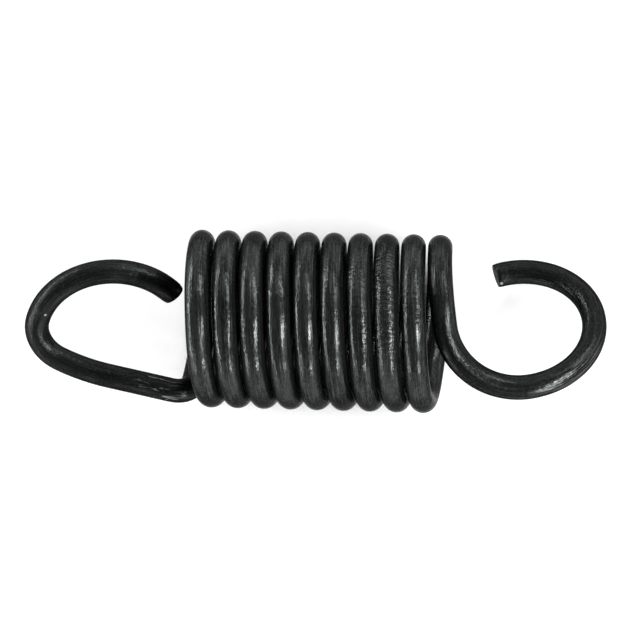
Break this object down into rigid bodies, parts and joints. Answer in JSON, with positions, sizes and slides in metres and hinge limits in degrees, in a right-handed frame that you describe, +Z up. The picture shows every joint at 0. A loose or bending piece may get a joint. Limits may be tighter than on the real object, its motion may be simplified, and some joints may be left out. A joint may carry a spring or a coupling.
{
  "type": "extension spring",
  "caption": "Close-coiled extension spring of dark round wire with an open hook at each end, the hooks turned across each other.",
  "frame": {"origin": "centre of the spring's bounding box at the surface that it lies on", "axes": "+X along the coil's axis from the hook with the sharp corner to the hook that peels away, +Z up from the surface that it lies on"},
  "size_m": [0.0718, 0.0219, 0.0218],
  "materials": {
    "spring_wire": "satin, black oxide"
  },
  "bodies": {
    "root": {"spring": "spring_wire"}
  },
  "joints": []
}
